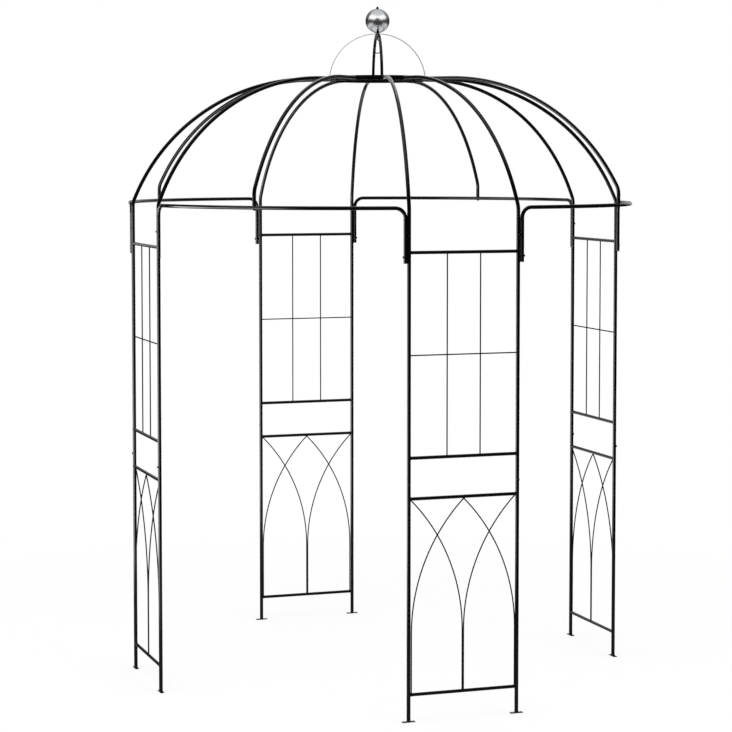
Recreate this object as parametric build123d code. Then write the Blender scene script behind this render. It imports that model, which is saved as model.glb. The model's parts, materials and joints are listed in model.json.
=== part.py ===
from build123d import *
import os
from math import atan2, cos, degrees, hypot, radians, sin, tan

# Round trellis pavilion of black steel tube: four trellis panels carry twelve curved ribs that meet
# at a crown ring, with two crossed hoops, a hook and a steel ball on top.
# The origin is on the ground below the crown, +Z is up and the front panel faces -Y.
# Lengths are in millimetres and angles in degrees.

# Plan of the panels
panel_distance = 990.0
leg_spacing = 440.0

# Heights, each counted from the piece below it
bottom_rail_rise = 104.0
arch_frame_height = 744.0
splice_rise = 40.0
middle_rail_rise = 114.0
trellis_height = 771.0
rib_joint_rise = 49.0
connector_overlap = 90.0
connector_bolt_rise = 24.0
connector_height = 207.0
leg_rib_upright = 120.0
mid_rib_upright = 63.0
dome_rise = 510.0
hoop_rise = 189.0

# Tubes, wires and the crown's flat ring
leg_d = 15.0
leg_wall = 1.2
rail_d = 13.0
rail_wall = 1.0
wire_d = 5.0
rib_d = 15.0
rib_wall = 1.2
connector_d = 15.0
connector_wall = 1.2
ring_height = 20.0
ring_thickness = 4.0
ring_radius = 200.0

# Bends
leg_rib_slope = 66.8
mid_rib_slope = 61.0
rib_kink_radius = 70.0
rib_straight = 20.0
connector_bend_radius = 39.0
connector_turn = 36.8
connector_straight = 5.0

# Side of the leg that a connector comes down on, from the leg's outer side
connector_bolt_angle = 68.0

# Trellis filling
upright_spacing = 134.0
arch_height = 510.0

# Foot strips with peg holes
foot_length = 50.0
foot_width = 15.0
foot_thickness = 3.0
peg_hole_d = 6.0
peg_hole_spacing = 34.0

# Plug-in joints and welds
leg_spigot_length = 60.0
rib_spigot_length = 50.0
crown_spigot_length = 40.0
slip_gap = 0.3
weld_gap = 0.2
tube_gap = 0.4
rib_end_gap = 1.0

# Screws, bolts, nuts and threaded plugs
screw_d = 5.0
screw_head_d = 9.0
screw_head_height = 3.2
screw_rise = 14.0
screw_clearance = 0.3
screw_socket_across = 3.0
bolt_d = 6.0
bolt_head_d = 10.0
bolt_head_height = 3.5
bolt_socket_across = 4.0
socket_floor = 1.2
bolt_nut_across = 10.0
bolt_nut_height = 5.0
thread_end = 2.0
insert_length = 20.0

# Crown hoops, ball and hook
hoop_width = 12.0
hoop_thickness = 2.0
hoop_turn = 14.0
ball_d = 100.0
ball_wall = 1.0
cap_dome_radius = 4.4
hook_wire_d = 4.0
hook_shank = 19.0
hook_reach = 18.0
hook_depth = 60.0
hook_bight_radius = 13.0
hook_tip = 14.0

quarter_turn = 90.0

# Heights above the ground
bottom_rail_z = bottom_rail_rise
arch_rail_z = bottom_rail_z + arch_frame_height
splice_z = arch_rail_z + splice_rise
middle_rail_z = splice_z + middle_rail_rise
top_rail_z = middle_rail_z + trellis_height
cross_wire_z = (middle_rail_z + top_rail_z) / 2
rib_joint_z = top_rail_z + rib_joint_rise
connector_foot_z = rib_joint_z - connector_overlap
connector_bolt_z = connector_foot_z + connector_bolt_rise
connector_z = connector_foot_z + connector_height
leg_rib_kink_z = rib_joint_z + leg_rib_upright
mid_rib_kink_z = connector_z + mid_rib_upright
crown_z = leg_rib_kink_z + dome_rise
hoop_top_z = crown_z + hoop_rise
lower_hoop_z = hoop_top_z - hoop_thickness - weld_gap
hoop_nut_z = lower_hoop_z - hoop_thickness / 2 - weld_gap - bolt_nut_height
ball_bottom_z = hoop_top_z + hoop_thickness / 2 + weld_gap
ball_top_z = ball_bottom_z + ball_d
hook_start_z = hoop_nut_z + bolt_nut_height - hook_shank
splice_screw_z = splice_z + screw_rise
rib_screw_z = rib_joint_z + screw_rise

# Radii and places in plan
half_spacing = leg_spacing / 2
leg_circle = hypot(panel_distance, half_spacing)
leg_angle = degrees(atan2(half_spacing, panel_distance))
leg_r = leg_d / 2
rail_r = rail_d / 2
wire_r = wire_d / 2
rib_r = rib_d / 2
rib_bore_r = rib_r - rib_wall
connector_r = connector_d / 2
screw_hole_r = screw_d / 2 + screw_clearance
bolt_hole_r = bolt_d / 2 + screw_clearance
rib_end_radius = ring_radius + ring_thickness / 2 + rib_end_gap
connector_offset = leg_r + connector_r + tube_gap

# The opening between two panels, seen with its middle along +X
half_opening = quarter_turn / 2 - leg_angle
opening_leg_x = leg_circle * cos(radians(half_opening))
opening_leg_y = leg_circle * sin(radians(half_opening))
connector_side = half_opening - connector_bolt_angle
connector_end_x = opening_leg_x + connector_offset * cos(radians(connector_side))
connector_end_y = opening_leg_y + connector_offset * sin(radians(connector_side))
connector_run = connector_end_y / cos(radians(connector_turn))
connector_peak_x = connector_end_x + connector_run * sin(radians(connector_turn))
connector_plan_radius = (
    connector_run - connector_bend_radius - connector_straight
) / tan(radians(connector_turn))
mid_rib_radius = connector_peak_x - connector_plan_radius * (1 / cos(radians(connector_turn)) - 1)

sides = ("front", "right", "back", "left")
openings = ("front_right", "back_right", "back_left", "front_left")
hands = {"left": -1, "right": 1}


def column(radius, bottom, top):
    """A round bar on the Z axis between two heights."""
    bar = Cylinder(radius, top - bottom, align=(Align.CENTER, Align.CENTER, Align.MIN))
    return Pos(0, 0, bottom) * bar


def spoke(radius, start, end, angle, height):
    """A level round bar that points out from the Z axis at an angle, between two distances."""
    return Pos(0, 0, height) * Rot(0, 0, angle) * Rot(0, 90, 0) * column(radius, start, end)


def rod_along(path, radius):
    """A round rod that follows a path."""
    section = Plane(origin=path @ 0, z_dir=path % 0) * Circle(radius)
    return sweep(section, path=path)


def tube_along(path, outer_d, wall):
    """A round tube that follows a path."""
    return rod_along(path, outer_d / 2) - rod_along(path, outer_d / 2 - wall)


def swaged_tube(bottom, top, outer_r, wall, spigot_r, spigot_length):
    """An upright tube whose upper end is drawn in to a spigot for the next tube."""
    outside = column(outer_r, bottom, top) + column(spigot_r, top, top + spigot_length)
    bore = column(outer_r - wall, bottom, top - wall)
    spigot_bore = column(spigot_r - wall, top - wall, top + spigot_length)
    return outside - bore - spigot_bore


def hexagon_nut(across, height, hole_r):
    """A hexagon nut that stands on the XY plane."""
    outline = RegularPolygon(across / 2, 6, major_radius=False) - Circle(hole_r)
    return extrude(outline, amount=height)


def headed_screw(shank_d, shank_length, head_d, head_height, socket_across):
    """A screw with a rounded, hexagon socket head above the XY plane and its shank below."""
    head = Cylinder(head_d / 2, head_height, align=(Align.CENTER, Align.CENTER, Align.MIN))
    head = fillet(head.edges().sort_by(Axis.Z)[-1], head_height / 2)
    socket = extrude(RegularPolygon(socket_across / 2, 6, major_radius=False), amount=head_height)
    return head - Pos(0, 0, socket_floor) * socket + column(shank_d / 2, -shank_length, 0)


def radial_place(distance, angle, height):
    """Where a thing that stands on the XY plane points out from the Z axis instead."""
    return Pos(0, 0, height) * Rot(0, 0, angle) * Rot(0, 90, 0) * Pos(0, 0, distance)


def at_leg(hand):
    """Place of a front leg, with its own +X pointing away from the pavilion's axis."""
    return Rot(0, 0, hand * leg_angle - quarter_turn) * Pos(leg_circle, 0, 0)


def lower_leg():
    """Lower half of a leg, on its own axis, with the spigot that plugs into the upper half."""
    spigot_r = leg_r - leg_wall - slip_gap
    tube = swaged_tube(foot_thickness, splice_z, leg_r, leg_wall, spigot_r, leg_spigot_length)
    return tube - spoke(screw_hole_r, 0, leg_d, 0, splice_screw_z)


def upper_leg(hand):
    """Upper half of a leg, on its own axis, with the spigot that plugs into the rib."""
    spigot_r = rib_bore_r - slip_gap
    tube = swaged_tube(splice_z, rib_joint_z, leg_r, leg_wall, spigot_r, rib_spigot_length)
    tube -= spoke(screw_hole_r, 0, leg_d, 0, splice_screw_z)
    tube -= spoke(screw_hole_r, 0, leg_d, 0, rib_screw_z)
    return tube - spoke(screw_hole_r, 0, leg_d, hand * connector_bolt_angle, connector_bolt_z)


def foot_strip():
    """Flat strip under a leg, along the panel, with a peg hole on each side of the leg."""
    strip = Box(foot_length, foot_width, foot_thickness, align=(Align.CENTER, Align.CENTER, Align.MIN))
    holes = Pos(-peg_hole_spacing / 2, 0, 0) * column(peg_hole_d / 2, 0, foot_thickness)
    holes += Pos(peg_hole_spacing / 2, 0, 0) * column(peg_hole_d / 2, 0, foot_thickness)
    return strip - holes


def leg_clearance():
    """The space of a panel's two legs, with room for the weld."""
    bars = [
        Pos(hand * half_spacing, -panel_distance, 0) * column(leg_r + weld_gap, 0, rib_joint_z)
        for hand in hands.values()
    ]
    return bars[0] + bars[1]


def level_bar(radius, height, depth):
    """A level bar across the front panel, from leg axis to leg axis."""
    bar = spoke(radius, -half_spacing, half_spacing, 0, height)
    return Pos(0, depth - panel_distance, 0) * bar


def rail(height):
    """A level tube between the two legs of the front panel."""
    tube = level_bar(rail_r, height, 0) - level_bar(rail_r - rail_wall, height, 0)
    return tube - leg_clearance()


def rail_clearance(*heights):
    """The space of level rails, with room for the weld."""
    return [level_bar(rail_r + weld_gap, height, 0) for height in heights]


def upper_uprights():
    """The two upright wires of the front panel's upper frame."""
    wires = []
    for hand in hands.values():
        wire = Pos(hand * upright_spacing / 2, -panel_distance, 0) * column(wire_r, middle_rail_z, top_rail_z)
        wires.append(wire - rail_clearance(middle_rail_z, top_rail_z))
    return wires


def cross_wire():
    """The level wire of the front panel's upper frame, welded behind the uprights."""
    return level_bar(wire_r, cross_wire_z, wire_d + weld_gap) - leg_clearance()


def arch_wire(start_x, end_x, depth):
    """One wire of the pointed arches: it leaves the arch rail's underside, bends upright and runs down."""
    reach = abs(end_x - start_x)
    rise = arch_height - rail_r
    radius = (reach**2 + rise**2) / (2 * reach)
    bend_z = arch_rail_z - arch_height
    turn = degrees(atan2(rise, radius - reach))
    inward = 1 if start_x > end_x else -1
    centre_x = end_x + inward * radius
    wire_y = depth - panel_distance

    def on_bend(angle):
        """Point of the bend at an angle above its lower end."""
        along = radius * cos(radians(angle))
        return (centre_x - inward * along, wire_y, bend_z + radius * sin(radians(angle)))

    upright = Line((end_x, wire_y, bottom_rail_z), on_bend(0))
    bend = ThreePointArc(on_bend(0), on_bend(turn / 2), on_bend(turn))
    weld_x = start_x + inward * rail_r * tan(radians(turn))
    weld_end = Line(on_bend(turn), (weld_x, wire_y, arch_rail_z))
    wire = rod_along(Wire([upright, bend, weld_end]), wire_r)
    return wire - rail_clearance(arch_rail_z, bottom_rail_z) - leg_clearance()


def arch_wires():
    """The four wires that cross to pointed arches in the front panel's lower frame.

    The two that meet under the middle of the rail are mitred to each other.
    """
    outer_x = half_spacing - leg_r - wire_r - weld_gap
    inner_x = wire_r + weld_gap / 2
    depth = wire_r + weld_gap / 2
    wires = []
    for hand in hands.values():
        far_x = hand * (weld_gap / 2 - half_spacing)
        far_half = Pos(far_x, -panel_distance, arch_rail_z) * Box(leg_spacing, leg_d, 2 * rail_d)
        wires.append(arch_wire(0, hand * outer_x, -depth) - far_half)
        wires.append(arch_wire(hand * outer_x, hand * inner_x, depth))
    return wires


def rib(foot_radius, foot_z, kink_z, slope):
    """A curved rib in the XZ plane: upright foot, kink, long bend and a level end at the crown."""
    rise = crown_z - kink_z
    peak_x = foot_radius - rise / tan(radians(slope))
    kink_room = rib_kink_radius * tan(radians((quarter_turn - slope) / 2))
    slope_run = rise / sin(radians(slope)) - kink_room
    level_run = peak_x - rib_end_radius
    bend_room = min(slope_run, level_run) - rib_straight
    path = FilletPolyline(
        (foot_radius, 0, foot_z),
        (foot_radius, 0, kink_z),
        (peak_x, 0, crown_z),
        (rib_end_radius, 0, crown_z),
        radius=[rib_kink_radius, bend_room / tan(radians(slope / 2))],
    )
    return tube_along(path, rib_d, rib_wall)


def leg_rib():
    """Rib that plugs onto a leg, with the hole of its lock screw."""
    tube = rib(leg_circle, rib_joint_z, leg_rib_kink_z, leg_rib_slope)
    return tube - Pos(leg_circle, 0, 0) * spoke(screw_hole_r, 0, rib_d, 0, rib_screw_z)


def mid_rib():
    """Rib that stands on the middle of a connector, with its foot cut to the connector's tube."""
    tube = rib(mid_rib_radius, connector_z, mid_rib_kink_z, mid_rib_slope)
    saddle = spoke(connector_r + weld_gap, -rib_d, rib_d, quarter_turn, connector_z)
    return tube - Pos(mid_rib_radius, 0, 0) * saddle


def connector():
    """Bowed tube over an opening, its two ends bent down beside the legs."""
    path = FilletPolyline(
        (connector_end_x, -connector_end_y, connector_foot_z),
        (connector_end_x, -connector_end_y, connector_z),
        (connector_peak_x, 0, connector_z),
        (connector_end_x, connector_end_y, connector_z),
        (connector_end_x, connector_end_y, connector_foot_z),
        radius=[connector_bend_radius, connector_plan_radius, connector_bend_radius],
    )
    tube = tube_along(path, connector_d, connector_wall)
    tube -= Pos(mid_rib_radius, 0, connector_z) * column(bolt_hole_r, -connector_d, connector_d)
    for hand in hands.values():
        end = Pos(connector_end_x, hand * connector_end_y, 0)
        tube -= end * spoke(screw_hole_r, -connector_d, connector_d, hand * connector_side, connector_bolt_z)
    return tube


def crown_band(gap):
    """The ring of flat bar on edge at the crown, grown all round by a gap."""
    bottom = crown_z - ring_height / 2 - gap
    top = crown_z + ring_height / 2 + gap
    half_thickness = ring_thickness / 2 + gap
    outside = column(ring_radius + half_thickness, bottom, top)
    return outside - column(ring_radius - half_thickness, bottom, top)


def crown_spigot():
    """Peg on the outside of the crown ring, along +X, that a rib slides onto."""
    peg = spoke(rib_bore_r - slip_gap, ring_radius, rib_end_radius + crown_spigot_length, 0, crown_z)
    return peg - crown_band(weld_gap)


def hoop(apex_z):
    """Half hoop of flat bar in the XZ plane, its two ends welded to the crown ring."""
    path = ThreePointArc((-ring_radius, 0, crown_z), (0, 0, apex_z), (ring_radius, 0, crown_z))
    section = Plane(origin=path @ 0, x_dir=(0, 1, 0), z_dir=path % 0) * Rectangle(hoop_width, hoop_thickness)
    strip = sweep(section, path=path) - crown_band(weld_gap)
    return strip - column(bolt_hole_r, apex_z - hoop_width, apex_z + hoop_width)


def ball():
    """Hollow polished ball with a hole at each pole for the hook bolt."""
    shell = Sphere(ball_d / 2) - Sphere(ball_d / 2 - ball_wall)
    return Pos(0, 0, ball_bottom_z + ball_d / 2) * (shell - column(bolt_hole_r, -ball_d, ball_d))


def cap_nut():
    """Domed nut that holds the ball down on the hook bolt."""
    body = extrude(RegularPolygon(bolt_nut_across / 2, 6, major_radius=False), amount=bolt_nut_height)
    dome = Sphere(cap_dome_radius, arc_size1=0, align=(Align.CENTER, Align.CENTER, Align.MIN))
    body += Pos(0, 0, bolt_nut_height) * dome
    body -= column(bolt_hole_r, 0, bolt_nut_height + slip_gap)
    return Pos(0, 0, ball_top_z) * body


def hook_path():
    """Line of the lamp hook: a short jog to one side, a long drop, a round bight and a tip."""
    bight_z = hook_start_z - hook_depth + hook_bight_radius
    shank = FilletPolyline(
        (0, 0, hook_start_z + hook_wire_d),
        (0, 0, hook_start_z - hook_wire_d / 2),
        (hook_bight_radius, 0, hook_start_z - hook_reach),
        (hook_bight_radius, 0, bight_z),
        radius=hook_wire_d,
    )
    bight_bottom = (0, 0, bight_z - hook_bight_radius)
    bight = ThreePointArc((hook_bight_radius, 0, bight_z), bight_bottom, (-hook_bight_radius, 0, bight_z))
    tip = Line((-hook_bight_radius, 0, bight_z), (-hook_bight_radius, 0, bight_z + hook_tip))
    return Wire([*shank.edges(), bight, tip])


def hook_bolt():
    """Threaded rod through the ball and both hoops that ends below in a lamp hook."""
    rod = column(bolt_d / 2, hook_start_z, ball_top_z + bolt_nut_height)
    return rod + rod_along(hook_path(), hook_wire_d / 2)


def hoop_nut():
    """Nut below the hoops that clamps them to the hook bolt."""
    return Pos(0, 0, hoop_nut_z) * hexagon_nut(bolt_nut_across, bolt_nut_height, bolt_hole_r)


def lock_screw(tube_r, wall, height):
    """Screw that locks a plug-in joint, on a leg's own axis, with its head on the outside."""
    length = wall + slip_gap + leg_wall + thread_end
    screw = headed_screw(screw_d, length, screw_head_d, screw_head_height, screw_socket_across)
    return radial_place(tube_r + weld_gap / 2, 0, height) * screw


def connector_bolt(hand):
    """Bolt through a connector's end into the plug of the leg beside it, on the leg's own axis."""
    seat = connector_offset + connector_r
    bolt = headed_screw(screw_d, seat + thread_end, screw_head_d, screw_head_height, screw_socket_across)
    return radial_place(seat + weld_gap / 2, hand * connector_bolt_angle, connector_bolt_z) * bolt


def connector_insert(hand):
    """Threaded plug inside an upper leg that takes the connector bolt, on the leg's own axis."""
    bottom = connector_bolt_z - insert_length / 2
    plug = column(leg_r - leg_wall - slip_gap, bottom, bottom + insert_length)
    return plug - spoke(screw_hole_r, -2 * thread_end, leg_d, hand * connector_bolt_angle, connector_bolt_z)


def mid_rib_insert():
    """Threaded plug inside the foot of a mid rib."""
    bottom = connector_z + connector_r + thread_end
    plug = column(rib_bore_r - slip_gap, bottom, bottom + insert_length)
    plug -= column(bolt_hole_r, bottom, bottom + insert_length)
    return Pos(mid_rib_radius, 0, 0) * plug


def mid_rib_bolt():
    """Bolt from below through the connector into the plug of a mid rib."""
    length = connector_d + thread_end + insert_length
    bolt = headed_screw(bolt_d, length, bolt_head_d, bolt_head_height, bolt_socket_across)
    return Pos(mid_rib_radius, 0, connector_z - connector_r - weld_gap / 2) * Rot(180, 0, 0) * bolt


def save(name, solids):
    """Write the solids of one node."""
    export_step(Compound(children=list(solids)), f"parts/{name}.step")


def turned(shapes, angle):
    """Copies of shapes turned about the pavilion's axis."""
    return [Rot(0, 0, angle) * shape for shape in shapes]


def all_round(shapes):
    """Copies of the front's shapes on all four sides."""
    return [shape for index in range(len(sides)) for shape in turned(shapes, index * quarter_turn)]


def save_side(side, angle):
    """Write the panel and the leg ribs of one side."""
    feet = [Pos(hand * half_spacing, -panel_distance, 0) * foot_strip() for hand in hands.values()]
    panel = {
        "foot_strips": feet,
        "lower_legs": [at_leg(hand) * lower_leg() for hand in hands.values()],
        "lower_rails": [rail(bottom_rail_z), rail(arch_rail_z)],
        "arch_wires": arch_wires(),
        "upper_legs": [at_leg(hand) * upper_leg(hand) for hand in hands.values()],
        "upper_rails": [rail(middle_rail_z), rail(top_rail_z)],
        "trellis_wires": upper_uprights() + [cross_wire()],
    }
    for piece, solids in panel.items():
        save(f"{side}_{piece}", turned(solids, angle))
    for hand, sign in hands.items():
        save(f"{side}_{hand}_rib", turned([leg_rib()], angle + sign * leg_angle - quarter_turn))


def save_opening(opening, angle):
    """Write the connector and the mid rib of one opening."""
    middle = angle - quarter_turn / 2
    save(f"{opening}_connector", turned([connector()], middle))
    save(f"{opening}_mid_rib", turned([mid_rib()], middle))


def save_crown():
    """Write the crown ring and what stands on it."""
    save("crown_ring", [crown_band(0)])
    pegs = turned([crown_spigot()], -leg_angle) + turned([crown_spigot()], leg_angle)
    pegs += turned([crown_spigot()], quarter_turn / 2)
    save("crown_spigots", all_round(pegs))
    save("upper_hoop", turned([hoop(hoop_top_z)], quarter_turn - hoop_turn))
    save("lower_hoop", turned([hoop(lower_hoop_z)], -hoop_turn))
    save("hook_bolt", [hook_bolt()])
    save("hoop_nut", [hoop_nut()])
    save("finial_ball", [ball()])
    save("finial_cap_nut", [cap_nut()])


def save_fasteners():
    """Write the groups of like screws, bolts and plugs."""
    signs = hands.values()
    splice_screw = lock_screw(leg_r, leg_wall, splice_screw_z)
    rib_screw = lock_screw(rib_r, rib_wall, rib_screw_z)
    save("splice_screws", all_round([at_leg(hand) * splice_screw for hand in signs]))
    save("rib_screws", all_round([at_leg(hand) * rib_screw for hand in signs]))
    save("connector_bolts", all_round([at_leg(hand) * connector_bolt(hand) for hand in signs]))
    save("connector_inserts", all_round([at_leg(hand) * connector_insert(hand) for hand in signs]))
    save("mid_rib_inserts", all_round(turned([mid_rib_insert()], quarter_turn / 2)))
    save("mid_rib_bolts", all_round(turned([mid_rib_bolt()], quarter_turn / 2)))


os.makedirs("parts", exist_ok=True)
for index, (side, opening) in enumerate(zip(sides, openings)):
    save_side(side, index * quarter_turn)
    save_opening(opening, index * quarter_turn)
save_crown()
save_fasteners()
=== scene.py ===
"""Finishes, weld beads, threads, studio and camera for a round trellis pavilion of black steel tube.

All lengths are in metres unless a name ends in _mm. The origin is on the ground below the crown, +Z is up
and the front panel faces -Y.
"""

import json
import logging
import math
from collections.abc import Callable
from dataclasses import dataclass
from enum import Enum
from typing import Any

import bmesh
import bpy
from mathutils import Matrix, Vector


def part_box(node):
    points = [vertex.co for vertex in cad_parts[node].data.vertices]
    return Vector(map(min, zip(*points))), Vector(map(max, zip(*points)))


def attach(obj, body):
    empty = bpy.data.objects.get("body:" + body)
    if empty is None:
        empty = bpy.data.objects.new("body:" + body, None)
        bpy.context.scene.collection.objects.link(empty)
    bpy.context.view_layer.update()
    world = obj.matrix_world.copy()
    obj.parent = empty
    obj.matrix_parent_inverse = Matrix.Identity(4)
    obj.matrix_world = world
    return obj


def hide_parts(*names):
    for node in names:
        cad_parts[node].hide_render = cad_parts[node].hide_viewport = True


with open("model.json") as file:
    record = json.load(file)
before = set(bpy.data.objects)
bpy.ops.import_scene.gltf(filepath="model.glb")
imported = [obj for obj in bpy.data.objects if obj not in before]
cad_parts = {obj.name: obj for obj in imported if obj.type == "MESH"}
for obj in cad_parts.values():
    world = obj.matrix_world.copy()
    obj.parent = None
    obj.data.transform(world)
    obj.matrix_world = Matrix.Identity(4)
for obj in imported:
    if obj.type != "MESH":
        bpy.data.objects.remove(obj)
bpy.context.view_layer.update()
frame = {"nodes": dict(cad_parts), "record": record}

LOG = logging.getLogger("trellis_pavilion")
BODY = "root"
IMAGE_PIXELS = 732
SENSOR_MM = 36.0
MM = 0.001
QUARTER_TURN = math.pi / 2
WHITE = "#ffffff"

# Left and right, as signs
HANDS = (-1, 1)

# Length of one band of the wave texture at a scale of one
WAVE_BAND = math.tau / 20


class Slot(Enum):
    """The record's material slots."""

    POWDER_COAT = "black_powder_coat"
    HARDWARE = "black_hardware"
    BALL = "polished_steel"
    ZINC = "zinc_plate"


class Side(Enum):
    """The four trellis panels, by the quarter turns that bring the front panel there."""

    FRONT = 0
    RIGHT = 1
    BACK = 2
    LEFT = 3

    @property
    def label(self) -> str:
        """The side's name as it stands in node names."""
        return self.name.lower()

    @property
    def turn(self) -> Matrix:
        """The rotation about the pavilion's axis that carries the front panel to this side."""
        return Matrix.Rotation(self.value * QUARTER_TURN, 4, "Z")


def linear(hex_colour: str) -> tuple[float, float, float, float]:
    """Turn an sRGB hex colour into linear RGBA.

    Args:
        hex_colour: Six hex digits, with or without a leading hash.

    Returns:
        Linear red, green, blue and an alpha of one.
    """
    digits = hex_colour.lstrip("#")
    values = [int(digits[i:i + 2], 16) / 255 for i in (0, 2, 4)]
    red, green, blue = (v / 12.92 if v <= 0.04045 else ((v + 0.055) / 1.055) ** 2.4 for v in values)
    return red, green, blue, 1.0


def add_node(tree: bpy.types.NodeTree, kind: str, settings: dict[str, Any] | None = None,
             sockets: dict[str | int, Any] | None = None) -> bpy.types.Node:
    """Add one node with its settings and links.

    Args:
        tree: The node tree that takes the node.
        kind: The node's type name.
        settings: Attributes of the node itself.
        sockets: Input values by name or number; an output socket there is linked instead.

    Returns:
        The new node.
    """
    node = tree.nodes.new(kind)
    for name, value in (settings or {}).items():
        setattr(node, name, value)
    for name, value in (sockets or {}).items():
        if isinstance(value, bpy.types.NodeSocket):
            tree.links.new(value, node.inputs[name])
        else:
            node.inputs[name].default_value = value
    return node


def empty_material(name: str) -> bpy.types.Material:
    """Make a node material with nothing in it.

    Args:
        name: The material's name.

    Returns:
        The new material.
    """
    material = bpy.data.materials.new(name)
    material.use_nodes = True
    material.node_tree.nodes.clear()
    return material


def per_metre(spacing_mm: float) -> float:
    """Texture scale that repeats a pattern about every given number of millimetres."""
    return 1 / (spacing_mm * MM)


@dataclass(frozen=True)
class PowderCoat:
    """Glossy black polyester powder coat, sprayed on steel and baked.

    The film flows out to a gloss with a faint orange peel, and its thickness drifts along a tube, so the eye
    sees near black with soft edged reflections that are a little sharper in some places than in others.
    """

    name: str = "gloss_black_powder_coat_on_steel"
    thin_film: str = "#0b0b0c"
    thick_film: str = "#040405"
    roughness_low: float = 0.12
    roughness_high: float = 0.2
    peel_mm: float = 2.2
    peel_height_mm: float = 0.004
    peel_octaves: float = 1.0
    drift_mm: float = 45.0
    drift_octaves: float = 3.0
    drift_falloff: float = 0.6
    drift_low: float = 0.3
    drift_high: float = 0.7
    ior: float = 1.36

    def build(self) -> bpy.types.Material:
        """Make the material.

        Returns:
            The node material.
        """
        material = empty_material(self.name)
        tree = material.node_tree
        place = add_node(tree, "ShaderNodeTexCoord").outputs["Object"]
        # The drift is drawn coarser than the real film's, so that it shows at the picture's scale.
        drift = add_node(tree, "ShaderNodeTexNoise", {"noise_dimensions": "3D"}, {
            "Vector": place, "Scale": per_metre(self.drift_mm),
            "Detail": self.drift_octaves, "Roughness": self.drift_falloff,
        }).outputs["Fac"]
        colour = add_node(tree, "ShaderNodeMix", {"data_type": "RGBA"}, {
            "Factor": drift, "A": linear(self.thick_film), "B": linear(self.thin_film),
        })
        gloss = add_node(tree, "ShaderNodeMapRange", None, {
            "Value": drift, "From Min": self.drift_low, "From Max": self.drift_high,
            "To Min": self.roughness_low, "To Max": self.roughness_high,
        })
        peel = add_node(tree, "ShaderNodeTexNoise", {"noise_dimensions": "3D"}, {
            "Vector": place, "Scale": per_metre(self.peel_mm), "Detail": self.peel_octaves,
        })
        bump = add_node(tree, "ShaderNodeBump", None, {
            "Distance": self.peel_height_mm * MM, "Height": peel.outputs["Fac"],
        })
        shader = add_node(tree, "ShaderNodeBsdfPrincipled", None, {
            "Base Color": colour.outputs["Result"], "Roughness": gloss.outputs["Result"],
            "IOR": self.ior, "Normal": bump.outputs["Normal"],
        })
        add_node(tree, "ShaderNodeOutputMaterial", None, {"Surface": shader.outputs["BSDF"]})
        return material


@dataclass(frozen=True)
class BlackPlating:
    """Black passivated zinc on steel screws, bolts and nuts.

    It is satin rather than glossy, a touch lighter than the coated tubes, with a fine mottle from the bath.
    """

    name: str = "satin_black_zinc_on_steel_fasteners"
    dark: str = "#060607"
    light: str = "#101011"
    roughness_low: float = 0.3
    roughness_high: float = 0.45
    mottle_mm: float = 2.5
    mottle_octaves: float = 4.0
    ior: float = 1.4

    def build(self) -> bpy.types.Material:
        """Make the material.

        Returns:
            The node material.
        """
        material = empty_material(self.name)
        tree = material.node_tree
        place = add_node(tree, "ShaderNodeTexCoord").outputs["Object"]
        mottle = add_node(tree, "ShaderNodeTexNoise", {"noise_dimensions": "3D"}, {
            "Vector": place, "Scale": per_metre(self.mottle_mm), "Detail": self.mottle_octaves,
        }).outputs["Fac"]
        colour = add_node(tree, "ShaderNodeMix", {"data_type": "RGBA"}, {
            "Factor": mottle, "A": linear(self.dark), "B": linear(self.light),
        })
        gloss = add_node(tree, "ShaderNodeMapRange", None, {
            "Value": mottle, "To Min": self.roughness_low, "To Max": self.roughness_high,
        })
        shader = add_node(tree, "ShaderNodeBsdfPrincipled", None, {
            "Base Color": colour.outputs["Result"], "Roughness": gloss.outputs["Result"], "IOR": self.ior,
        })
        add_node(tree, "ShaderNodeOutputMaterial", None, {"Surface": shader.outputs["BSDF"]})
        return material


@dataclass(frozen=True)
class PolishedStainless:
    """Stainless steel sheet, spun to a ball and buffed.

    A mirror with a haze: buffing on a lathe leaves fine rings round the upright axis, which soften all
    reflections to broad bright and dark zones.
    """

    name: str = "buffed_stainless_steel_ball"
    bright: str = "#d4d5d6"
    dull: str = "#c3c4c6"
    roughness_low: float = 0.28
    roughness_high: float = 0.32
    ring_mm: float = 2.3687
    ring_waver: float = 0.6
    ring_octaves: float = 2.0
    cloud_mm: float = 22.0
    cloud_octaves: float = 2.0

    def build(self) -> bpy.types.Material:
        """Make the material.

        Returns:
            The node material.
        """
        material = empty_material(self.name)
        tree = material.node_tree
        place = add_node(tree, "ShaderNodeTexCoord").outputs["Object"]
        # The real buffing rings are finer; they are drawn at a spacing that a close view can show.
        rings = add_node(tree, "ShaderNodeTexWave", {"wave_type": "BANDS", "bands_direction": "Z"}, {
            "Vector": place, "Scale": per_metre(self.ring_mm) * WAVE_BAND,
            "Distortion": self.ring_waver, "Detail": self.ring_octaves,
        })
        cloud = add_node(tree, "ShaderNodeTexNoise", {"noise_dimensions": "3D"}, {
            "Vector": place, "Scale": per_metre(self.cloud_mm), "Detail": self.cloud_octaves,
        })
        colour = add_node(tree, "ShaderNodeMix", {"data_type": "RGBA"}, {
            "Factor": cloud.outputs["Fac"], "A": linear(self.dull), "B": linear(self.bright),
        })
        gloss = add_node(tree, "ShaderNodeMapRange", None, {
            "Value": rings.outputs["Fac"], "To Min": self.roughness_low, "To Max": self.roughness_high,
        })
        shader = add_node(tree, "ShaderNodeBsdfPrincipled", None, {
            "Base Color": colour.outputs["Result"], "Metallic": 1.0, "Roughness": gloss.outputs["Result"],
        })
        add_node(tree, "ShaderNodeOutputMaterial", None, {"Surface": shader.outputs["BSDF"]})
        return material


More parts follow.
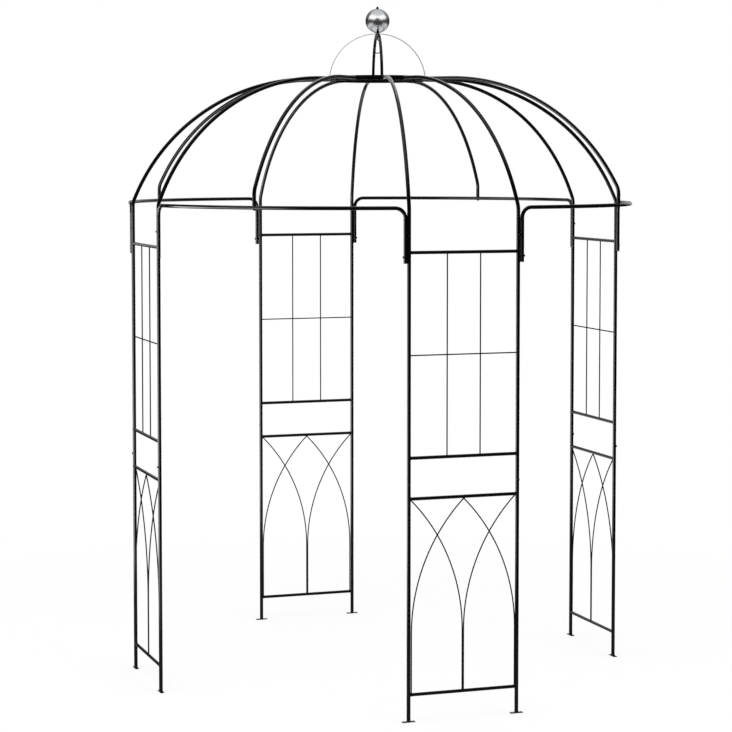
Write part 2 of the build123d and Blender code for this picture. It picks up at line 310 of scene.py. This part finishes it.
@dataclass(frozen=True)
class BrightZinc:
    """Electroplated zinc on a steel rod and nut.

    A grey metal with a soft sheen, and faint cloudy patches from handling that are duller and rougher; both
    colours are darkened as painted shade, standing for the dark dome that the hook mirrors.
    """

    name: str = "bright_zinc_plated_steel"
    # bright and dull are both darkened: painted shade for the dark dome reflected in the hook, not the zinc's
    # own tone
    bright: str = "#4a4d50"
    dull: str = "#1c1d1f"
    roughness_low: float = 0.24
    roughness_high: float = 0.42
    cloud_mm: float = 6.0
    cloud_octaves: float = 3.0

    def build(self) -> bpy.types.Material:
        """Make the material.

        Returns:
            The node material.
        """
        material = empty_material(self.name)
        tree = material.node_tree
        place = add_node(tree, "ShaderNodeTexCoord").outputs["Object"]
        cloud = add_node(tree, "ShaderNodeTexNoise", {"noise_dimensions": "3D"}, {
            "Vector": place, "Scale": per_metre(self.cloud_mm), "Detail": self.cloud_octaves,
        }).outputs["Fac"]
        colour = add_node(tree, "ShaderNodeMix", {"data_type": "RGBA"}, {
            "Factor": cloud, "A": linear(self.dull), "B": linear(self.bright),
        })
        gloss = add_node(tree, "ShaderNodeMapRange", None, {
            "Value": cloud, "To Min": self.roughness_high, "To Max": self.roughness_low,
        })
        shader = add_node(tree, "ShaderNodeBsdfPrincipled", None, {
            "Base Color": colour.outputs["Result"], "Metallic": 1.0, "Roughness": gloss.outputs["Result"],
        })
        add_node(tree, "ShaderNodeOutputMaterial", None, {"Surface": shader.outputs["BSDF"]})
        return material


@dataclass
class Finishes:
    """The finished material of each slot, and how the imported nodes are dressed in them."""

    materials: dict[Slot, bpy.types.Material]

    @classmethod
    def make(cls) -> "Finishes":
        """Build every finish once.

        Returns:
            The finishes by slot.
        """
        return cls({
            Slot.POWDER_COAT: PowderCoat().build(),
            Slot.HARDWARE: BlackPlating().build(),
            Slot.BALL: PolishedStainless().build(),
            Slot.ZINC: BrightZinc().build(),
        })

    def dress(self, piece: bpy.types.Object, slot: Slot) -> None:
        """Give a piece the finish of a slot as its only material."""
        piece.data.materials.clear()
        piece.data.materials.append(self.materials[slot])

    def dress_nodes(self) -> None:
        """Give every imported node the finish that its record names."""
        for entry in frame["record"]["subparts"]:
            node = frame["nodes"][entry["node"]]
            self.dress(node, Slot(entry["material_slot"]))
            LOG.info("node %s in %s", entry["node"], entry["material_slot"])


def new_piece(name: str, mesh: bmesh.types.BMesh, finishes: Finishes, slot: Slot) -> bpy.types.Object:
    """Turn a built mesh into a smooth piece of the object that rides on its body.

    Args:
        name: The piece's name.
        mesh: The built mesh, in the row's frame; it is freed.
        finishes: The finishes to dress it from.
        slot: The slot whose finish it takes.

    Returns:
        The new object.
    """
    bmesh.ops.recalc_face_normals(mesh, faces=mesh.faces)
    for face in mesh.faces:
        face.smooth = True
    data = bpy.data.meshes.new(name)
    mesh.to_mesh(data)
    mesh.free()
    piece = bpy.data.objects.new(name, data)
    bpy.context.scene.collection.objects.link(piece)
    finishes.dress(piece, slot)
    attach(piece, BODY)
    LOG.info("piece %s with %d faces", name, len(data.polygons))
    return piece


def bridge_rings(mesh: bmesh.types.BMesh, rings: list[list[bmesh.types.BMVert]], closed: bool) -> None:
    """Join rings of as many points each into a tube.

    Args:
        mesh: The mesh that holds the points.
        rings: The rings in order along the tube.
        closed: True if the last ring joins the first; otherwise both ends are capped.
    """
    count = len(rings[0])
    pairs = list(zip(rings, rings[1:]))
    if closed:
        pairs.append((rings[-1], rings[0]))
    for lower, upper in pairs:
        for i in range(count):
            j = (i + 1) % count
            mesh.faces.new((lower[i], lower[j], upper[j], upper[i]))
    if not closed:
        mesh.faces.new(list(reversed(rings[0])))
        mesh.faces.new(rings[-1])


def tube(mesh: bmesh.types.BMesh, path: list[Vector], radii: list[float], sides: int, closed: bool) -> None:
    """Add a round tube along a path, its rings turned as little as the path allows.

    Args:
        mesh: The mesh that takes the tube.
        path: Points of the centre line.
        radii: The tube's radius at each point.
        sides: Points in each ring.
        closed: True if the path is a loop.
    """
    last = len(path) - 1
    steps = []
    for i in range(len(path)):
        after = path[(i + 1) % len(path)] if closed or i < last else path[i]
        before = path[i - 1] if closed or i > 0 else path[i]
        steps.append((after - before).normalized())
    turns = [math.tau * k / sides for k in range(sides)]
    across = steps[0].orthogonal().normalized()
    rings = []
    for point, step, radius in zip(path, steps, radii):
        across = (across - step * across.dot(step)).normalized()
        beside = step.cross(across)
        rings.append([
            mesh.verts.new(point + (across * math.cos(t) + beside * math.sin(t)) * radius) for t in turns
        ])
    bridge_rings(mesh, rings, closed)


@dataclass
class WeldShop:
    """Weld beads and tacks, which are painted over with the tubes."""

    bead_radius: float = 1.3 * MM
    bead_ripple: float = 0.16
    ripple_length: float = 2.6 * MM
    ring_points: int = 48
    line_points: int = 24
    end_share: float = 0.04
    bead_sides: int = 8
    tack_radius: float = 2.6 * MM
    tack_segments: int = 10
    tack_rings: int = 6

    def loop_bead(self, mesh: bmesh.types.BMesh, bar_radius: float, spot: Callable[[float], Vector]) -> None:
        """Add a rippled bead that closes round a bar.

        Args:
            mesh: The mesh that takes the bead.
            bar_radius: Radius of the bar, which sets how many ripples go round it.
            spot: Gives the point of the bead's line at an angle round the bar.
        """
        ripples = round(math.tau * bar_radius / self.ripple_length)
        angles = [math.tau * k / self.ring_points for k in range(self.ring_points)]
        radii = [self.bead_radius * (1 + self.bead_ripple * math.cos(ripples * angle)) for angle in angles]
        tube(mesh, [spot(angle) for angle in angles], radii, self.bead_sides, closed=True)

    def ring_bead(self, mesh: bmesh.types.BMesh, bar_radius: float, host_radius: float,
                  place: Matrix) -> None:
        """Add the bead round a bar that ends against a round host tube.

        Args:
            mesh: The mesh that takes the bead.
            bar_radius: Radius of the bar, which lies along the place's own X axis.
            host_radius: Radius of the host tube, which lies along the place's own Z axis.
            place: Where the two axes meet.
        """
        def spot(angle: float) -> Vector:
            """Give a point where the bar's skin meets the host.

            Args:
                angle: The angle round the bar.

            Returns:
                The point, in the row's frame.
            """
            side = bar_radius * math.cos(angle)
            away = math.sqrt(max(host_radius ** 2 - side ** 2, 0.0))
            return place @ Vector((away, side, bar_radius * math.sin(angle)))

        self.loop_bead(mesh, bar_radius, spot)

    def flat_bead(self, mesh: bmesh.types.BMesh, bar_radius: float, centre: Vector) -> None:
        """Add the bead round an upright bar that stands on a flat plate.

        Args:
            mesh: The mesh that takes the bead.
            bar_radius: Radius of the bar.
            centre: Where the bar's axis meets the plate.
        """
        def spot(angle: float) -> Vector:
            """Give the point of the plate beside the bar's skin at an angle round the bar."""
            return centre + Vector((math.cos(angle), math.sin(angle), 0.0)) * bar_radius

        self.loop_bead(mesh, bar_radius, spot)

    def straight_bead(self, mesh: bmesh.types.BMesh, start: Vector, end: Vector) -> None:
        """Add a short straight bead that thins out at both ends.

        Args:
            mesh: The mesh that takes the bead.
            start: Where it starts.
            end: Where it ends.
        """
        shares = [k / self.line_points for k in range(self.line_points + 1)]
        ripples = round((end - start).length / self.ripple_length)
        radii = []
        for share in shares:
            swell = math.sqrt(max(1 - (2 * share - 1) ** 2, self.end_share))
            ripple = 1 + self.bead_ripple * math.cos(math.tau * ripples * share)
            radii.append(self.bead_radius * swell * ripple)
        tube(mesh, [start.lerp(end, share) for share in shares], radii, self.bead_sides, closed=False)

    def tack(self, mesh: bmesh.types.BMesh, centre: Vector) -> None:
        """Add a small lump of weld round a point."""
        bmesh.ops.create_uvsphere(mesh, u_segments=self.tack_segments, v_segments=self.tack_rings,
                                  radius=self.tack_radius, matrix=Matrix.Translation(centre))


@dataclass
class TrellisPanel:
    """One trellis panel: where its tubes and wires lie, and the weld beads that join them."""

    side: Side
    leg_radius: float = 7.5 * MM
    rail_radius: float = 6.5 * MM
    wire_radius: float = 2.5 * MM
    upright_spacing: float = 134.0 * MM
    foot_thickness: float = 3.0 * MM

    def __post_init__(self) -> None:
        """Work the panel's places out from the front panel's packed boxes."""
        legs_low, legs_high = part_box("front_lower_legs")
        self.face_y: float = (legs_low.y + legs_high.y) / 2
        self.leg_x: float = legs_high.x - self.leg_radius
        lower_low, lower_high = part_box("front_lower_rails")
        upper_low, upper_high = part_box("front_upper_rails")
        self.bottom_z: float = lower_low.z + self.rail_radius
        self.arch_z: float = lower_high.z - self.rail_radius
        self.middle_z: float = upper_low.z + self.rail_radius
        self.top_z: float = upper_high.z - self.rail_radius
        _, wires_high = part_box("front_trellis_wires")
        self.cross_y: float = wires_high.y - self.wire_radius
        arch_low, arch_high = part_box("front_arch_wires")
        self.arch_x: float = self.leg_x - self.leg_radius - self.wire_radius
        self.arch_depth: float = (arch_high.y - arch_low.y) / 2 - self.wire_radius

    def rail_welds(self, mesh: bmesh.types.BMesh, shop: WeldShop) -> None:
        """Weld both ends of each rail to the legs.

        Args:
            mesh: The mesh that takes the beads.
            shop: Makes the beads.
        """
        for z in (self.bottom_z, self.arch_z, self.middle_z, self.top_z):
            for hand in HANDS:
                turn = Matrix.Rotation(0.0 if hand < 0 else math.pi, 4, "Z")
                place = Matrix.Translation((hand * self.leg_x, self.face_y, z)) @ turn
                shop.ring_bead(mesh, self.rail_radius, self.leg_radius, self.side.turn @ place)

    def foot_welds(self, mesh: bmesh.types.BMesh, shop: WeldShop) -> None:
        """Weld each leg to its foot strip.

        Args:
            mesh: The mesh that takes the beads.
            shop: Makes the beads.
        """
        for hand in HANDS:
            centre = Vector((hand * self.leg_x, self.face_y, self.foot_thickness))
            shop.flat_bead(mesh, self.leg_radius, self.side.turn @ centre)

    def wire_tacks(self, mesh: bmesh.types.BMesh, shop: WeldShop) -> None:
        """Tack the wires to the rails, to the legs and to each other.

        Args:
            mesh: The mesh that takes the tacks.
            shop: Makes the tacks.
        """
        cross_z = (self.middle_z + self.top_z) / 2
        between_y = (self.face_y + self.cross_y) / 2
        outer_y = self.face_y - self.arch_depth
        inner_y = self.face_y + self.arch_depth
        on_bottom_z = self.bottom_z + self.rail_radius
        under_arch_z = self.arch_z - self.rail_radius
        spots = []
        for hand in HANDS:
            upright_x = hand * self.upright_spacing / 2
            leg_side_x = hand * (self.leg_x - self.leg_radius)
            arch_side_x = hand * self.arch_x
            arch_middle_x = hand * self.wire_radius
            spots += [
                (upright_x, self.face_y, self.middle_z + self.rail_radius),
                (upright_x, self.face_y, self.top_z - self.rail_radius),
                (upright_x, between_y, cross_z),
                (leg_side_x, self.cross_y, cross_z),
                (arch_side_x, outer_y, on_bottom_z),
                (arch_middle_x, inner_y, on_bottom_z),
                (arch_side_x, inner_y, under_arch_z),
                (arch_middle_x, outer_y, under_arch_z),
            ]
        for spot in spots:
            shop.tack(mesh, self.side.turn @ Vector(spot))

    def build(self, shop: WeldShop, finishes: Finishes) -> bpy.types.Object:
        """Make the panel's weld beads.

        Args:
            shop: Makes the beads.
            finishes: The finishes to dress them from.

        Returns:
            One object with all beads of the panel.
        """
        mesh = bmesh.new()
        self.rail_welds(mesh, shop)
        self.foot_welds(mesh, shop)
        self.wire_tacks(mesh, shop)
        return new_piece(f"{self.side.label}_weld_beads", mesh, finishes, Slot.POWDER_COAT)


@dataclass
class CrownWelds:
    """Beads that join the ends of the two flat hoops to the crown ring."""

    hoop_angles_deg: tuple[float, float] = (-14.0, 76.0)
    hoop_width: float = 12.0 * MM
    hoop_thickness: float = 2.0 * MM
    ring_thickness: float = 4.0 * MM

    def build(self, shop: WeldShop, finishes: Finishes) -> bpy.types.Object:
        """Make the beads, one on each face of each hoop end.

        Args:
            shop: Makes the beads.
            finishes: The finishes to dress them from.

        Returns:
            One object with all beads of the crown.
        """
        _, ring_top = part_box("crown_ring")
        ring_radius = ring_top.x - self.ring_thickness / 2
        mesh = bmesh.new()
        for angle_deg in self.hoop_angles_deg:
            for half_turn in (0.0, math.pi):
                turn = Matrix.Rotation(math.radians(angle_deg) + half_turn, 4, "Z")
                for face in (-1, 1):
                    reach = ring_radius + face * self.hoop_thickness / 2
                    edges = [hand * self.hoop_width / 2 for hand in HANDS]
                    ends = [turn @ Vector((reach, edge, ring_top.z)) for edge in edges]
                    shop.straight_bead(mesh, *ends)
        return new_piece("crown_weld_beads", mesh, finishes, Slot.POWDER_COAT)


@dataclass
class LampHook:
    """Threaded rod through ball and hoops, whose lower end is a wire hook for a lamp."""

    rod_radius: float = 3.0 * MM
    thread_pitch: float = 1.0 * MM
    thread_depth: float = 0.6 * MM
    wire_radius: float = 2.0 * MM
    hook_depth: float = 60.0 * MM
    hook_reach: float = 18.0 * MM
    hook_tip: float = 14.0 * MM
    bend_radius: float = 4.0 * MM
    thread_length: float = 16.0 * MM
    rod_sides: int = 36
    rings_per_turn: int = 10
    wire_sides: int = 20
    bend_points: int = 8
    bight_points: int = 40

    def __post_init__(self) -> None:
        """Work the hook's places out from its packed box."""
        low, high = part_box("hook_bolt")
        self.top_z: float = high.z
        self.bight_radius: float = high.x - self.wire_radius
        self.start_z: float = low.z + self.wire_radius + self.hook_depth
        self.bight_z: float = low.z + self.wire_radius + self.bight_radius

    def rounded(self, before: Vector, corner: Vector, after: Vector) -> list[Vector]:
        """Round one corner of the wire's line.

        Args:
            before: The point before the corner.
            corner: The corner.
            after: The point after it.

        Returns:
            Points of the arc that takes the corner's place.
        """
        back = (before - corner).normalized()
        ahead = (after - corner).normalized()
        half = back.angle(ahead) / 2
        run = self.bend_radius / math.tan(half)
        centre = corner + (back + ahead).normalized() * (self.bend_radius / math.sin(half))
        first = corner + back * run - centre
        last = corner + ahead * run - centre
        turns = [first.slerp(last, k / self.bend_points) for k in range(self.bend_points + 1)]
        return [centre + turn * self.bend_radius for turn in turns]

    def wire_line(self) -> list[Vector]:
        """Give the line of the hook: a jog to one side, a drop, a round bight and a tip.

        Returns:
            Points of the line, from the rod to the tip.
        """
        out = self.bight_radius
        # The wire starts inside the rod, so that no gap shows between them.
        root = Vector((0.0, 0.0, self.start_z + 2 * self.wire_radius))
        jog = Vector((0.0, 0.0, self.start_z - self.wire_radius))
        elbow = Vector((out, 0.0, self.start_z - self.hook_reach))
        side = Vector((out, 0.0, self.bight_z))
        line = [root, *self.rounded(root, jog, elbow), *self.rounded(jog, elbow, side)]
        for k in range(self.bight_points + 1):
            angle = math.pi * k / self.bight_points
            line.append(Vector((out * math.cos(angle), 0.0, self.bight_z - out * math.sin(angle))))
        line.append(Vector((-out, 0.0, self.bight_z + self.hook_tip)))
        return line

    def rod_ring(self, mesh: bmesh.types.BMesh, z: float, cut: float) -> list[bmesh.types.BMVert]:
        """Add the points of one ring of the rod.

        Args:
            mesh: The mesh that takes the points.
            z: The ring's height.
            cut: How deep the thread is cut there.

        Returns:
            The points in order round the rod.
        """
        ring = []
        for k in range(self.rod_sides):
            share = k / self.rod_sides
            phase = ((z - self.start_z) / self.thread_pitch - share) % 1.0
            radius = self.rod_radius - cut * abs(2 * phase - 1)
            angle = math.tau * share
            ring.append(mesh.verts.new((radius * math.cos(angle), radius * math.sin(angle), z)))
        return ring

    def rod(self, mesh: bmesh.types.BMesh) -> None:
        """Add the rod, with the thread cut into the length that can be seen.

        Args:
            mesh: The mesh that takes the rod.
        """
        steps = round(self.thread_length / self.thread_pitch * self.rings_per_turn)
        heights = [self.start_z + self.thread_length * k / steps for k in range(steps + 1)]
        rings = [self.rod_ring(mesh, z, self.thread_depth) for z in heights]
        for z in (heights[-1] + self.thread_pitch, self.top_z):
            rings.append(self.rod_ring(mesh, z, 0.0))
        bridge_rings(mesh, rings, closed=False)

    def build(self, finishes: Finishes) -> bpy.types.Object:
        """Make the rod and its hook in place of the plain packed ones.

        Args:
            finishes: The finishes to dress them from.

        Returns:
            The new object.
        """
        mesh = bmesh.new()
        self.rod(mesh)
        line = self.wire_line()
        tube(mesh, line, [self.wire_radius] * len(line), self.wire_sides, closed=False)
        hook = new_piece("threaded_lamp_hook", mesh, finishes, Slot.ZINC)
        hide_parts("hook_bolt")
        return hook


class Lights(Enum):
    """What the light of a lamp, a card or the floor falls on."""

    EVERYTHING = "everything"
    BRIGHT_METAL = "bright metal only"
    BLACK_TUBES = "all but bright metal and thin wires"


@dataclass(frozen=True)
class Card:
    """A curved studio card round the pavilion, which only mirror-like surfaces see.

    Attributes:
        name: The card's name.
        start_deg: Bearing of its left edge from the camera's side, to the right.
        end_deg: Bearing of its right edge.
        foot: Distance from the pavilion's axis and height of its lower edge.
        head: Distance from the pavilion's axis and height of its upper edge.
        light: How bright it is, where one is white.
        lights: What it is bright for; to all else it is black.
    """

    name: str
    start_deg: float
    end_deg: float
    foot: tuple[float, float]
    head: tuple[float, float]
    light: float
    lights: Lights = Lights.EVERYTHING


@dataclass(frozen=True)
class Softbox:
    """A soft rectangular lamp that faces the pavilion.

    Attributes:
        name: The lamp's name.
        bearing_deg: Its bearing from the camera's side, to the right.
        reach: Its distance from the pavilion's axis.
        height: Its height.
        width: Its width.
        depth: Its other side.
        light: Its power in watts for each square metre of its face, divided by pi.
        lights: What its light falls on.
    """

    name: str
    bearing_deg: float
    reach: float
    height: float
    width: float
    depth: float
    light: float
    lights: Lights = Lights.EVERYTHING

    @property
    def reflected(self) -> bool:
        """True if the lamp only shows as a reflection; otherwise it only lights and shows in nothing."""
        return self.lights is Lights.BLACK_TUBES


@dataclass
class Studio:
    """Pale floor, soft lamps, cards for the reflections and the camera."""

    bright_metal: list[bpy.types.Object]
    thin_wires: list[bpy.types.Object]
    azimuth_deg: float = -19.21
    distance: float = 9.308
    height: float = 2.131
    tilt_deg: float = 3.5
    pan_deg: float = 0.293
    focal_pixels: float = 2230.0
    shift_y: float = -0.1
    view_limit: float = 200.0
    floor_colour: str = "#f4f4f4"
    floor_radius: float = 40.0
    floor_segments: int = 96
    floor_drop: float = 0.2 * MM
    floor_share: float = 0.3
    fade_start: float = 1.6
    fade_end: float = 3.6
    world_light: float = 0.92
    aim_height: float = 1.4
    card_step_deg: float = 5.0
    # Name, bearing, reach, height, width, depth and light of each lamp
    lamps: tuple[Softbox, ...] = (
        Softbox("left_softbox", -52.0, 4.2, 6.2, 4.4, 3.2, 2.0),
        Softbox("right_softbox", 48.0, 4.2, 6.2, 4.0, 3.2, 1.8),
        Softbox("left_strip_light", -85.0, 3.2, 0.95, 3.6, 1.95, 9.0, Lights.BLACK_TUBES),
        Softbox("front_left_strip_light", -48.0, 2.5, 0.95, 1.5, 1.95, 6.0, Lights.BLACK_TUBES),
        Softbox("left_high_light", -70.0, 3.6, 5.2, 4.0, 2.6, 1.8, Lights.BLACK_TUBES),
        Softbox("back_left_light", -138.0, 3.3, 1.9, 2.4, 2.8, 0.75, Lights.BLACK_TUBES),
        Softbox("back_light", 180.0, 3.3, 2.0, 3.0, 4.0, 0.8, Lights.BLACK_TUBES),
        Softbox("back_low_light", 180.0, 2.0, 0.6, 3.0, 1.6, 0.8, Lights.BLACK_TUBES),
        Softbox("back_high_light", 180.0, 3.0, 5.2, 3.0, 3.0, 1.4, Lights.BLACK_TUBES),
        Softbox("back_right_light", 142.0, 3.3, 2.1, 2.4, 1.8, 0.7, Lights.BLACK_TUBES),
    )
    # Name, left and right bearing, lower and upper edge, and light of each card
    cards: tuple[Card, ...] = (
        Card("front_wall_card", -46.0, 58.0, (2.7, 0.0), (2.7, 3.2), 0.0),
        Card("front_peak_card", -20.0, 20.0, (2.7, 3.2), (2.7, 3.85), 0.0),
        Card("low_wall_card", 58.0, 314.0, (3.4, 0.0), (3.4, 1.6), 0.95, Lights.BRIGHT_METAL),
        Card("high_wall_card", 58.0, 314.0, (3.4, 1.6), (3.4, 3.6), 0.02),
        Card("left_glow_card", -95.0, -9.0, (4.2, 3.2), (4.2, 7.0), 2.1, Lights.BRIGHT_METAL),
        Card("middle_glow_card", -9.0, 9.0, (4.2, 3.2), (4.2, 7.0), 1.4, Lights.BRIGHT_METAL),
        Card("right_glow_card", 9.0, 95.0, (4.2, 3.2), (4.2, 7.0), 1.9, Lights.BRIGHT_METAL),
        Card("back_left_glow_card", -180.0, -95.0, (4.2, 3.2), (4.2, 7.0), 0.15),
        Card("back_right_glow_card", 95.0, 180.0, (4.2, 3.2), (4.2, 7.0), 0.3),
        Card("canopy_card", -180.0, 180.0, (4.3, 7.0), (0.1, 7.4), 0.85),
    )

    def camera(self) -> None:
        """Set the camera at the photograph's viewing angle, tilted a little so that it needs less shift."""
        data = bpy.data.cameras.new("camera")
        data.lens = self.focal_pixels / IMAGE_PIXELS * SENSOR_MM
        data.sensor_width = SENSOR_MM
        data.shift_y = self.shift_y
        data.clip_end = self.view_limit
        camera = bpy.data.objects.new("camera", data)
        azimuth = math.radians(self.azimuth_deg)
        camera.location = (self.distance * math.sin(azimuth), -self.distance * math.cos(azimuth), self.height)
        camera.rotation_euler = (QUARTER_TURN - math.radians(self.tilt_deg), 0.0,
                                 azimuth + math.radians(self.pan_deg))
        bpy.context.scene.collection.objects.link(camera)
        bpy.context.scene.camera = camera

    def seen_or_mirrored(self, tree: bpy.types.NodeTree) -> bpy.types.NodeSocket:
        """Make a factor that is one for rays from the camera, from mirrors and through glass.

        Args:
            tree: The tree that takes the nodes.

        Returns:
            The factor's socket.
        """
        path = add_node(tree, "ShaderNodeLightPath").outputs
        mirrored = add_node(tree, "ShaderNodeMath", {"operation": "MAXIMUM"}, {
            0: path["Is Glossy Ray"], 1: path["Is Transmission Ray"],
        })
        return add_node(tree, "ShaderNodeMath", {"operation": "MAXIMUM"}, {
            0: path["Is Camera Ray"], 1: mirrored.outputs[0],
        }).outputs[0]

    def world(self) -> None:
        """Make the white backdrop, and soft light of a plain level from all round."""
        world = bpy.data.worlds.new("white_backdrop")
        bpy.context.scene.world = world
        world.use_nodes = True
        tree = world.node_tree
        tree.nodes.clear()
        light = add_node(tree, "ShaderNodeBackground", None, {
            "Color": linear(WHITE), "Strength": self.world_light,
        })
        backdrop = add_node(tree, "ShaderNodeBackground", None, {"Color": linear(WHITE), "Strength": 1.0})
        mixed = add_node(tree, "ShaderNodeMixShader", None, {
            0: self.seen_or_mirrored(tree), 1: light.outputs[0], 2: backdrop.outputs[0],
        })
        add_node(tree, "ShaderNodeOutputWorld", None, {"Surface": mixed.outputs[0]})

    def floor_paint(self) -> bpy.types.Material:
        """Make the floor's pale paint, which keeps a soft shadow and fades to the white backdrop.

        Returns:
            The node material.
        """
        material = empty_material("pale_studio_floor")
        tree = material.node_tree
        paint = add_node(tree, "ShaderNodeBsdfDiffuse", None, {"Color": linear(self.floor_colour)})
        white = add_node(tree, "ShaderNodeEmission", None, {"Color": linear(WHITE), "Strength": 1.0})
        place = add_node(tree, "ShaderNodeTexCoord").outputs["Object"]
        away = add_node(tree, "ShaderNodeVectorMath", {"operation": "LENGTH"}, {0: place})
        fade = add_node(tree, "ShaderNodeMapRange", {"interpolation_type": "SMOOTHSTEP"}, {
            "Value": away.outputs["Value"], "From Min": self.fade_start, "From Max": self.fade_end,
            "To Min": 1 - self.floor_share, "To Max": 1.0,
        })
        share = add_node(tree, "ShaderNodeMath", {"operation": "MULTIPLY"}, {
            0: self.seen_or_mirrored(tree), 1: fade.outputs["Result"],
        })
        mixed = add_node(tree, "ShaderNodeMixShader", None, {
            0: share.outputs[0], 1: paint.outputs[0], 2: white.outputs[0],
        })
        add_node(tree, "ShaderNodeOutputMaterial", None, {"Surface": mixed.outputs[0]})
        return material

    def stand(self, name: str, mesh: bmesh.types.BMesh, material: bpy.types.Material) -> bpy.types.Object:
        """Put a thing of the studio into the scene.

        Args:
            name: Its name.
            mesh: Its built mesh, which is freed.
            material: Its only material.

        Returns:
            The new object.
        """
        data = bpy.data.meshes.new(name)
        mesh.to_mesh(data)
        mesh.free()
        data.materials.append(material)
        thing = bpy.data.objects.new(name, data)
        bpy.context.scene.collection.objects.link(thing)
        return thing

    def floor(self) -> None:
        """Lay a round pale floor under the feet, whose white shows in bright metal but not in black tubes."""
        mesh = bmesh.new()
        bmesh.ops.create_circle(mesh, cap_ends=True, segments=self.floor_segments, radius=self.floor_radius,
                                matrix=Matrix.Translation((0, 0, -self.floor_drop)))
        floor = self.stand("floor", mesh, self.floor_paint())
        self.link_light(floor, Lights.BRIGHT_METAL)

    def toward(self, bearing_deg: float, reach: float, height: float) -> Vector:
        """Give the place at a bearing from the camera's side, a distance from the axis and a height."""
        bearing = math.radians(self.azimuth_deg + bearing_deg)
        return Vector((reach * math.sin(bearing), -reach * math.cos(bearing), height))

    def hang(self, softbox: Softbox) -> None:
        """Hang one soft lamp, turned to the middle of the pavilion.

        Args:
            softbox: The lamp's place, size and light.
        """
        data = bpy.data.lights.new(softbox.name, "AREA")
        data.shape = "RECTANGLE"
        data.size = softbox.width
        data.size_y = softbox.depth
        data.energy = softbox.light * math.pi * softbox.width * softbox.depth
        lamp = bpy.data.objects.new(softbox.name, data)
        lamp.location = self.toward(softbox.bearing_deg, softbox.reach, softbox.height)
        aim = Vector((0.0, 0.0, self.aim_height)) - lamp.location
        lamp.rotation_euler = aim.to_track_quat("-Z", "Y").to_euler()
        lamp.visible_camera = False
        lamp.visible_diffuse = not softbox.reflected
        lamp.visible_glossy = softbox.reflected
        bpy.context.scene.collection.objects.link(lamp)
        self.link_light(lamp, softbox.lights)

    def link_light(self, source: bpy.types.Object, lights: Lights) -> None:
        """Let a source's light fall on some of the pieces only.

        Args:
            source: The lamp, card or floor that gives the light.
            lights: What it falls on.
        """
        if lights is Lights.EVERYTHING:
            return
        spares = lights is Lights.BLACK_TUBES
        linked = bpy.data.collections.new(f"{source.name}_links")
        for piece in self.bright_metal + (self.thin_wires if spares else []):
            linked.objects.link(piece)
        for entry in linked.collection_objects:
            entry.light_linking.link_state = "EXCLUDE" if spares else "INCLUDE"
        source.light_linking.receiver_collection = linked

    def set_card(self, card: Card) -> None:
        """Stand one card, seen by mirror-like surfaces only, so that it lights no floor and casts no shadow.

        Args:
            card: The card's place, size and light.
        """
        mesh = bmesh.new()
        sweep_deg = card.end_deg - card.start_deg
        steps = round(sweep_deg / self.card_step_deg)
        columns = []
        for k in range(steps + 1):
            bearing = card.start_deg + sweep_deg * k / steps
            columns.append([mesh.verts.new(self.toward(bearing, *edge)) for edge in (card.foot, card.head)])
        for here, there in zip(columns, columns[1:]):
            mesh.faces.new((here[0], there[0], there[1], here[1]))
        material = empty_material(f"{card.name}_face")
        tree = material.node_tree
        face = add_node(tree, "ShaderNodeEmission", None, {"Color": linear(WHITE), "Strength": card.light})
        add_node(tree, "ShaderNodeOutputMaterial", None, {"Surface": face.outputs[0]})
        thing = self.stand(card.name, mesh, material)
        thing.visible_camera = False
        thing.visible_diffuse = False
        thing.visible_shadow = False
        self.link_light(thing, card.lights)

    def build(self) -> None:
        """Set up the whole studio."""
        bpy.context.scene.view_settings.view_transform = "Standard"
        self.world()
        self.floor()
        for softbox in self.lamps:
            self.hang(softbox)
        for card in self.cards:
            self.set_card(card)
        self.camera()


def main() -> None:
    """Dress the pavilion, add its welds and set up the studio."""
    logging.basicConfig(level=logging.INFO, format="%(name)s: %(message)s")
    finishes = Finishes.make()
    finishes.dress_nodes()
    shop = WeldShop()
    for side in Side:
        TrellisPanel(side).build(shop, finishes)
    CrownWelds().build(shop, finishes)
    hook = LampHook().build(finishes)
    bright_metal = [hook, frame["nodes"]["finial_ball"], frame["nodes"]["hoop_nut"]]
    thin_wires = [node for name, node in frame["nodes"].items() if name.endswith("_wires")]
    Studio(bright_metal, thin_wires).build()


if __name__ == "__main__":
    main()
